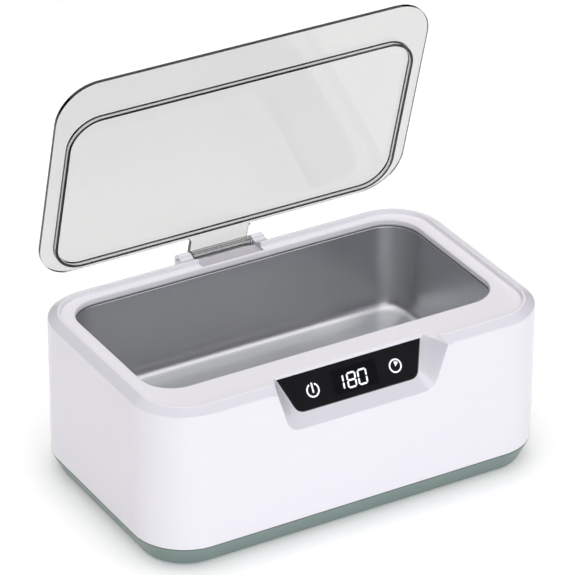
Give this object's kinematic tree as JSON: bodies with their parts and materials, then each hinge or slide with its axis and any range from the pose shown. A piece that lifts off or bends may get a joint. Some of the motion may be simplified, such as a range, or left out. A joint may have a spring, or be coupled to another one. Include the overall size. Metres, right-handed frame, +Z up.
{
  "type": "ultrasonic cleaner",
  "caption": "Desktop ultrasonic cleaner with a sunken steel tank, hinged smoky lid, and sloped touch panel in a front notch, for jewellery and glasses.",
  "frame": {"origin": "on the table under the middle of the housing and its rear hinge, at the bottom of the rubber feet", "axes": "+X to the right along the front, +Y from the control panel towards the hinge, +Z up"},
  "size_m": [0.2, 0.1292, 0.1927],
  "materials": {
    "white_abs": "glossy white moulded ABS",
    "grey_abs": "satin grey-green moulded ABS",
    "steel": "drawn stainless steel, satin",
    "silicone": "translucent silicone",
    "smoky_clear": "smoky translucent polycarbonate, polished",
    "foot_rubber": "matt black rubber",
    "zinc_steel": "zinc-plated steel",
    "panel_gloss": "polished black panel with light icons and digits",
    "black_plastic": "black moulded plastic",
    "brass": "brass",
    "circuit_board": "green solder mask on fibreglass board",
    "aluminium": "machined aluminium",
    "piezo_ceramic": "silvered piezo ceramic",
    "ferrite": "matt ferrite",
    "yellow_tape": "yellow polyester tape",
    "copper_winding": "enamelled copper wire",
    "capacitor_sleeve": "shrunk plastic sleeve",
    "clear_glass": "clear glass",
    "nylon": "natural nylon",
    "red_lead": "red wire insulation",
    "black_lead": "black wire insulation"
  },
  "bodies": {
    "housing": {"base_cover": "grey_abs", "base_screw_front_left": "zinc_steel", "base_screw_front_right": "zinc_steel", "base_screw_rear_left": "zinc_steel", "base_screw_rear_right": "zinc_steel", "board_screw_front": "zinc_steel", "board_screw_rear": "zinc_steel", "bridge_rectifier": "black_plastic", "bulk_capacitor": "capacitor_sleeve", "controller_chip": "black_plastic", "display_board": "circuit_board", "display_module": "black_plastic", "display_ribbon": "nylon", "driver_board": "circuit_board", "electrode_plate": "brass", "film_capacitor": "yellow_tape", "foot_front_left": "foot_rubber", "foot_front_right": "foot_rubber", "foot_rear_left": "foot_rubber", "foot_rear_right": "foot_rubber", "fuse": "clear_glass", "heatsink": "aluminium", "hinge_pin": "steel", "hinge_washer_left": "steel", "hinge_washer_right": "steel", "inlet_lead_left": "red_lead", "inlet_lead_right": "black_lead", "inlet_pin_left": "brass", "inlet_pin_right": "brass", "outer_shell": "white_abs", "output_choke": "copper_winding", "panel_glass": "panel_gloss", "piezo_ring_lower": "piezo_ceramic", "piezo_ring_upper": "piezo_ceramic", "power_inlet": "black_plastic", "power_transistor": "black_plastic", "ribbon_socket": "nylon", "supply_capacitor": "capacitor_sleeve", "tank": "steel", "tank_seal": "silicone", "touch_spring_power": "brass", "touch_spring_timer": "brass", "transducer_back_mass": "zinc_steel", "transducer_bolt": "zinc_steel", "transducer_horn": "aluminium", "transducer_lead_left": "red_lead", "transducer_lead_right": "black_lead", "transformer_core": "ferrite", "transformer_winding": "yellow_tape"},
    "lid": {"lid": "smoky_clear", "lid_seal": "silicone"}
  },
  "joints": [
    {"name": "lid_hinge", "type": "hinge", "parent": "housing", "child": "lid", "pos_m": [0, 0.0609, 0.0762], "axis": [-1, 0, 0], "range_deg": [-75, 35]}
  ]
}
